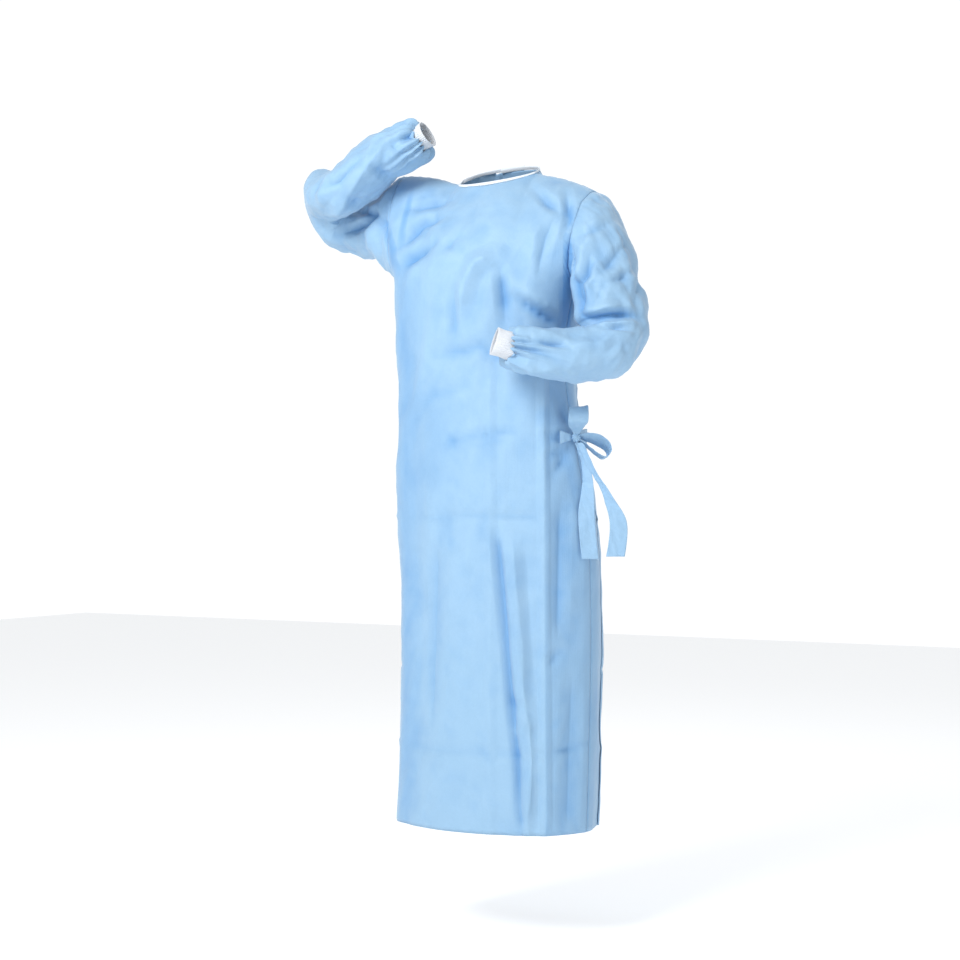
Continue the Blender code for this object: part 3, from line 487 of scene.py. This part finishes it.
# Each sleeve is gathered into its cuff, in sharp folds that fade along the sleeve.
GATHERS = 13
GATHER_RISE = 0.0042
GATHER_START = 0.020
GATHER_REACH = 0.040
WRIST_PART = 0.15
for mask, name in ((on_left_sleeve, "left_cuff"), (on_right_sleeve, "right_cuff")):
    cuff_places = np.array([v.co[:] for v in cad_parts[name].data.vertices])
    from_wrist = spots - cuff_places.mean(axis=0)
    near = mask & (np.linalg.norm(from_wrist, axis=1) < WRIST_PART)
    axis = np.array(Vector(from_wrist[near].mean(axis=0)).normalized())
    side = np.array(Vector(np.cross(axis, (0.0, 0.0, 1.0))).normalized())
    around = np.arctan2(from_wrist @ np.cross(axis, side), from_wrist @ side)
    turns = around / (2.0 * math.pi) * GATHERS
    turns += 0.35 * np.sin(2.0 * around + 0.6) + 0.2 * np.sin(5.0 * around)
    folds = np.abs(turns % 1.0 - 0.5) * 4.0 - 1.0
    fade = np.exp(-np.clip(from_wrist @ axis - GATHER_START, 0.0, None) / GATHER_REACH)
    rise += mask * GATHER_RISE * folds * fade * (1.0 + 0.5 * np.sin(3.0 * around + 1.1))

# No fold is deeper or higher than these, and beside a seam only a share of each fold is left.
DEEPEST_FOLD = -0.018
HIGHEST_FOLD = 0.012
SEAM_SHARE = 0.15
SEAM_REACH = 0.020
rise = np.clip(rise, DEEPEST_FOLD, HIGHEST_FOLD)
rise *= SEAM_SHARE + (1.0 - SEAM_SHARE) * smooth_step(seam_apart / SEAM_REACH)

# The seam line itself is drawn in by its stitches, with small puckers beside it.
SEAM_DEPTH = 0.0016
SEAM_HALF_WIDTH = 0.004
PUCKER_RISE = 0.0006
PUCKER_REACH = 0.009
PUCKER_SPACING = 0.017
pucker = np.sin(spots @ np.array([1.0, 1.0, 1.0]) * 2.0 * math.pi / PUCKER_SPACING)
near_seam = np.clip(1.0 - seam_apart / PUCKER_REACH, 0.0, 1.0)
rise -= SEAM_DEPTH * np.clip(1.0 - seam_apart / SEAM_HALF_WIDTH, 0.0, 1.0)
rise += PUCKER_RISE * pucker * near_seam * (1.0 - near_seam) * 4.0
spots = spots + facing * rise[:, None]

# The left sleeve lies against the side of the shell above its bend. The place is across and up the view.
SLEEVE_PRESS = 0.012
PRESS_ACROSS = 0.152
PRESS_HEIGHT = -0.280
PRESS_RADIUS = 0.020
beside = np.hypot(across - PRESS_ACROSS, height - PRESS_HEIGHT) / PRESS_RADIUS
spots = spots - (on_left_sleeve * SLEEVE_PRESS * np.exp(-(beside**2)))[:, None] * np.array(view_right)
# The painted shade is stored on each point for the material to read.
mesh.attributes.new("painted_fold_shade", "FLOAT", "POINT").data.foreach_set("value", painted_fold_shade.astype(np.float32))
mesh.vertices.foreach_set("co", spots.ravel())
mesh.update()


def add_bump(tree, shader, layers):
    """Chains bump nodes, each of a height output, its depth in metres and its strength, into the shader."""
    last = None
    for source, depth, strength in layers:
        links = {"Height": source}
        if last:
            links["Normal"] = last.outputs["Normal"]
        last = add_node(tree, "ShaderNodeBump", values={"Distance": depth, "Strength": strength}, links=links)
    tree.links.new(last.outputs["Normal"], shader.inputs["Normal"])


# Light blue nonwoven: matt, slightly translucent polypropylene felt, point bonded, mottled by its fibres, and
# painted a deeper blue where shade falls in its folds.
# Real bond points are 1 mm apart; here they are 2.6 mm apart, so that they show.
def nonwoven_material(name, crushed):
    """The gown's nonwoven, from pressed flat at nought to crushed at one."""
    made, tree, shader = new_material(name)
    where = add_node(tree, "ShaderNodeTexCoord").outputs["Object"]
    wrinkles = add_node(
        tree, "ShaderNodeTexNoise", {"noise_type": "RIDGED_MULTIFRACTAL"},
        {"Scale": 13.0 + 6.0 * crushed, "Detail": 3.0, "Roughness": 0.5, "Distortion": 0.5},
        {"Vector": where},
    )
    fibres = add_node(
        tree, "ShaderNodeTexNoise", values={"Scale": 260.0, "Detail": 4.0, "Roughness": 0.7},
        links={"Vector": where},
    )
    clouds = add_node(
        tree, "ShaderNodeTexNoise", values={"Scale": 26.0, "Detail": 5.0, "Roughness": 0.62},
        links={"Vector": where},
    )
    bonds = add_node(
        tree, "ShaderNodeTexVoronoi", values={"Scale": 385.0, "Randomness": 0.25}, links={"Vector": where}
    )
    mottle = add_node(
        tree, "ShaderNodeMix", {"data_type": "RGBA"}, {"A": srgb("#8EB5D6"), "B": srgb("#A0C4E1")},
        {"Factor": clouds.outputs["Fac"]},
    )
    height_of = add_node(tree, "ShaderNodeSeparateXYZ", links={"Vector": where})
    lower = add_node(
        tree, "ShaderNodeMapRange",
        values={"From Min": -0.880, "From Max": -0.888, "To Min": 0.0, "To Max": 0.35},
        links={"Value": height_of.outputs["Z"]},
    )
    doubled = add_node(
        tree, "ShaderNodeMix", {"data_type": "RGBA"}, {"B": srgb("#97BDDA")},
        {"Factor": lower.outputs["Result"], "A": mottle.outputs["Result"]},
    )
    # Painted shade: the stored fold shade mixes the cloth towards a deeper blue, #5795CF, in creases, under
    # the arms and on the shaded side.
    folded = add_node(tree, "ShaderNodeAttribute", {"attribute_name": "painted_fold_shade"})
    deeper = add_node(
        tree, "ShaderNodeMix", {"data_type": "RGBA"}, {"B": srgb("#5795CF")},
        {"Factor": folded.outputs["Fac"], "A": doubled.outputs["Result"]},
    )
    speck = add_node(
        tree, "ShaderNodeMix", {"data_type": "RGBA", "blend_type": "MULTIPLY"}, {"Factor": 0.10},
        {"A": deeper.outputs["Result"], "B": fibres.outputs["Fac"]},
    )
    tree.links.new(speck.outputs["Result"], shader.inputs["Base Color"])
    shader.inputs["Roughness"].default_value = 0.58
    shader.inputs["Specular IOR Level"].default_value = 0.4
    shader.inputs["Sheen Weight"].default_value = 0.18
    shader.inputs["Sheen Roughness"].default_value = 0.45
    add_bump(
        tree, shader,
        (
            (wrinkles.outputs["Fac"], 0.0034, 0.24 + 0.26 * crushed),
            (fibres.outputs["Fac"], 0.0008, 0.25),
            (bonds.outputs["Distance"], 0.0006, 0.22),
        ),
    )
    return made


flat_nonwoven = nonwoven_material("polypropylene_nonwoven", 0.0)
crushed_nonwoven = nonwoven_material("polypropylene_nonwoven_crushed", 1.0)

# The cut's flat width and length in metres, with how the piece hangs. The area is that of the cloth shown.
SHEETS = {
    "front_panel": (0.64, 1.28, "hung"),
    "left_back_panel": (0.58, 1.30, "hung"),
    "right_back_panel": (0.66, 1.30, "hung"),
    "left_sleeve": (0.46, 0.62, "gathered"),
    "right_sleeve": (0.46, 0.64, "gathered"),
}


def finish_cloth(piece, node, stuff, width, length, held, rests_on):
    """Gives a sheet its thickness and material, hangs it from the root and hides the node's own solid."""
    settings = {"thickness": CLOTH_THICKNESS, "offset": -1.0, "use_even_offset": False}
    apply_modifier(piece, "SOLIDIFY", settings)
    piece.data.materials.clear()
    piece.data.materials.append(stuff)
    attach(piece, "root")
    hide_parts(node)


for number, name in enumerate(CLOTH_PIECES):
    part = bmesh.new()
    part.from_mesh(mesh)
    layer = part.faces.layers.int["piece"]
    others = [f for f in part.faces if f[layer] != number]
    bmesh.ops.delete(part, geom=others, context="FACES")
    piece = as_object(part, name + "_cloth")
    stuff = crushed_nonwoven if name.endswith("sleeve") else flat_nonwoven
    finish_cloth(piece, name, stuff, *SHEETS[name], [])
bpy.data.objects.remove(shell)

# Waist ties
# Two bands of the same nonwoven, about 37 mm wide, tied in a bow at the left side: its two loops, two
# free tails, the root sewn to the front panel and the band from the flap's edge. Each has a cut width and
# length in metres, and how it is held.
BANDS = {
    "bow_upper_loop": (0.037, 0.125, "folded"),
    "bow_rear_loop": (0.037, 0.150, "folded"),
    "left_tail": (0.037, 0.225, "hung"),
    "right_tail": (0.037, 0.245, "hung"),
    "front_tie_root": (0.037, 0.040, "gathered"),
    "flap_tie": (0.037, 0.095, "hung"),
}
BAND_WALL = 0.0016
# The flap's tie moves with the pressed flap, but for its first stretch beside the knot.
TIE_CLEAR_OF_KNOT = 0.02
TIE_FADE = 0.03
# A band is crushed into facets of two sizes: each one's spacing, rise and seed.
BAND_CRUSH = ((0.034, 0.0030, 5), (0.016, 0.0012, 6))
knot_place = Vector(np.mean([v.co[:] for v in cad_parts["bow_knot"].data.vertices], axis=0))

# The loops open towards the view. Each place gives the band's middle from the knot (to the right, nearer,
# up) and the way and size of its width (the same three).
LOOPS = {
    "bow_upper_loop": (
        (0.000, 0.002, 0.004, 0.008, 0.000, 0.000),
        (0.000, 0.008, 0.018, 0.024, -0.006, 0.001),
        (0.001, 0.009, 0.036, 0.033, -0.010, 0.002),
        (0.002, 0.014, 0.052, 0.034, -0.010, 0.003),
        (0.003, 0.026, 0.057, 0.034, -0.008, 0.003),
        (0.003, 0.037, 0.047, 0.036, -0.006, 0.002),
        (0.002, 0.040, 0.030, 0.037, -0.004, 0.001),
        (0.001, 0.035, 0.0235, 0.036, -0.002, 0.000),
        (0.000, 0.020, 0.020, 0.028, 0.000, 0.000),
        (0.000, 0.006, 0.010, 0.014, 0.000, 0.000),
        (0.000, 0.004, 0.003, 0.008, 0.000, 0.000),
    ),
    "bow_rear_loop": (
        (0.002, 0.000, 0.001, 0.000, 0.008, 0.006),
        (0.022, 0.002, 0.002, 0.004, 0.024, 0.018),
        (0.043, 0.002, -0.006, 0.006, 0.028, 0.020),
        (0.057, 0.000, -0.016, 0.008, 0.030, 0.016),
        (0.062, -0.002, -0.030, 0.008, 0.032, 0.008),
        (0.052, -0.002, -0.041, 0.002, 0.034, 0.006),
        (0.036, 0.000, -0.032, 0.000, 0.030, 0.006),
        (0.020, 0.000, -0.018, 0.000, 0.022, 0.006),
        (0.004, 0.000, -0.003, 0.000, 0.008, 0.004),
    ),
}


def loop_sheet(places):
    """A band that follows the places, three faces wide, as a bmesh of quads."""
    shape = bmesh.new()
    before = None
    for aside, towards, up, *width in places:
        middle_place = knot_place + view_right * aside + view_back * towards + Vector((0.0, 0.0, up))
        half = (view_right * width[0] + view_back * width[1] + Vector((0.0, 0.0, width[2]))) * 0.5
        row = [shape.verts.new(middle_place + half * share) for share in (-1.0, -0.35, 0.35, 1.0)]
        if before:
            for left, right in ((0, 1), (1, 2), (2, 3)):
                shape.faces.new((before[left], before[right], row[right], row[left]))
        before = row
    return shape


for name, (width, length, held) in BANDS.items():
    sheet = loop_sheet(LOOPS[name]) if name in LOOPS else outer_sheet(name, BAND_WALL)
    piece = as_object(sheet, name + "_band")
    subdivided(piece, 3)
    band = piece.data
    places = np.array([v.co[:] for v in band.vertices])
    normals = np.array([v.normal[:] for v in band.vertices])
    lift = sum(top * crumple(places, spacing, seed) for spacing, top, seed in BAND_CRUSH)
    if name == "flap_tie":
        for row, place in enumerate(places):
            from_knot = (Vector(place) - knot_place).length
            share = float(smooth_step((from_knot - TIE_CLEAR_OF_KNOT) / TIE_FADE))
            place += flap_moves[flap_tree.find(place)[1]] * share
    band.vertices.foreach_set("co", (places + normals * lift[:, None]).ravel())
    band.update()
    finish_cloth(piece, name, crushed_nonwoven, width, length, held, ["bow_knot"])

# Bow knot
# The crossing of both bands, pulled tight, so that the nonwoven bunches into ridges that run round it.
RIDGES_ROUND = 9.0
RIDGE_TWIST = 260.0
RIDGE_HEIGHT = 0.0009
KNOT_SWELL = 0.0002
knot_shape = bmesh.new()
knot_shape.from_mesh(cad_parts["bow_knot"].data)
bmesh.ops.remove_doubles(knot_shape, verts=knot_shape.verts, dist=SAME_POINT)
knot = as_object(knot_shape, "bow_knot_bunched")
subdivided(knot, 2)
centre = sum((v.co for v in knot.data.vertices), Vector()) / len(knot.data.vertices)
for vertex in knot.data.vertices:
    away = vertex.co - centre
    turn_round = math.atan2(away.z, away.dot(view_right))
    ridges = math.cos(RIDGES_ROUND * turn_round + RIDGE_TWIST * away.dot(view_back))
    vertex.co += away.normalized() * (RIDGE_HEIGHT * ridges + KNOT_SWELL)
knot.data.materials.clear()
knot.data.materials.append(crushed_nonwoven)
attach(knot, "root")
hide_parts("bow_knot")

# Knit cuffs
# White rib-knitted polyester tubes, sewn inside the gathered sleeve ends, open at the wrist.
RIBS = 46
RIB_HEIGHT = 0.00045
KNIT_THICKNESS = 0.0013
knit, tree, shader = new_material("white_rib_knit")
where = add_node(tree, "ShaderNodeTexCoord").outputs["Object"]
stitches = add_node(tree, "ShaderNodeTexVoronoi", values={"Scale": 620.0}, links={"Vector": where})
fuzz = add_node(tree, "ShaderNodeTexNoise", values={"Scale": 900.0, "Detail": 3.0}, links={"Vector": where})
tone = add_node(
    tree, "ShaderNodeMix", {"data_type": "RGBA"}, {"A": srgb("#CDD2D9"), "B": srgb("#DFE2E6")},
    {"Factor": stitches.outputs["Distance"]},
)
tree.links.new(tone.outputs["Result"], shader.inputs["Base Color"])
shader.inputs["Roughness"].default_value = 0.85
shader.inputs["Sheen Weight"].default_value = 0.3
add_bump(tree, shader, ((stitches.outputs["Distance"], 0.0006, 0.5), (fuzz.outputs["Fac"], 0.0003, 0.4)))

for name in ("left_cuff", "right_cuff"):
    cuff = as_object(outer_sheet(name), name + "_knit")
    subdivided(cuff, 4)
    places = np.array([v.co[:] for v in cuff.data.vertices])
    normals = np.array([v.normal[:] for v in cuff.data.vertices])
    middle_spot = places.mean(axis=0)
    spread = np.linalg.svd(places - middle_spot, full_matrices=False)[2]
    flat = np.abs(normals @ spread.T).mean(axis=0)
    axis = spread[int(np.argmin(flat))]
    side = np.cross(axis, [0.0, 0.0, 1.0])
    side /= np.linalg.norm(side)
    upright = np.cross(axis, side)
    around = np.arctan2((places - middle_spot) @ upright, (places - middle_spot) @ side)
    along = (places - middle_spot) @ axis
    ribs = np.cos(RIBS * around)
    slack = 0.0006 * np.sin(along * 190.0 + 2.0 * around) + 0.0005 * np.sin(3.0 * around + 1.0)
    moved = places + normals * (RIB_HEIGHT * ribs + slack - 0.0004)[:, None]
    cuff.data.vertices.foreach_set("co", moved.ravel())
    cuff.data.update()
    apply_modifier(cuff, "SOLIDIFY", {"thickness": KNIT_THICKNESS, "offset": -1.0})
    cuff.data.materials.clear()
    cuff.data.materials.append(knit)
    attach(cuff, "root")
    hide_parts(name)

# Neck binding and closure
# A narrow white bias tape folded over the neck edge and stitched down, and the hook-and-loop patch
# between the two back panels at the neck.
tape, tree, shader = new_material("white_bias_tape")
where = add_node(tree, "ShaderNodeTexCoord").outputs["Object"]
weave = add_node(tree, "ShaderNodeTexNoise", values={"Scale": 700.0, "Detail": 3.0}, links={"Vector": where})
tone = add_node(
    tree, "ShaderNodeMix", {"data_type": "RGBA"}, {"A": srgb("#DCE6F0"), "B": srgb("#F2F6FA")},
    {"Factor": weave.outputs["Fac"]},
)
tree.links.new(tone.outputs["Result"], shader.inputs["Base Color"])
shader.inputs["Roughness"].default_value = 0.75
add_bump(tree, shader, ((weave.outputs["Fac"], 0.0005, 0.5),))

binding_shape = bmesh.new()
binding_shape.from_mesh(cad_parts["neck_binding"].data)
bmesh.ops.remove_doubles(binding_shape, verts=binding_shape.verts, dist=SAME_POINT)
bmesh.ops.join_triangles(
    binding_shape, faces=binding_shape.faces, angle_face_threshold=0.5, angle_shape_threshold=3.1
)
binding = as_object(binding_shape, "neck_binding_tape")
apply_modifier(binding, "BEVEL", {"width": 0.0006, "segments": 2, "limit_method": "ANGLE"})
binding.data.materials.clear()
binding.data.materials.append(tape)
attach(binding, "root")
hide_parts("neck_binding")
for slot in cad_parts["neck_closure"].material_slots:
    slot.material = tape
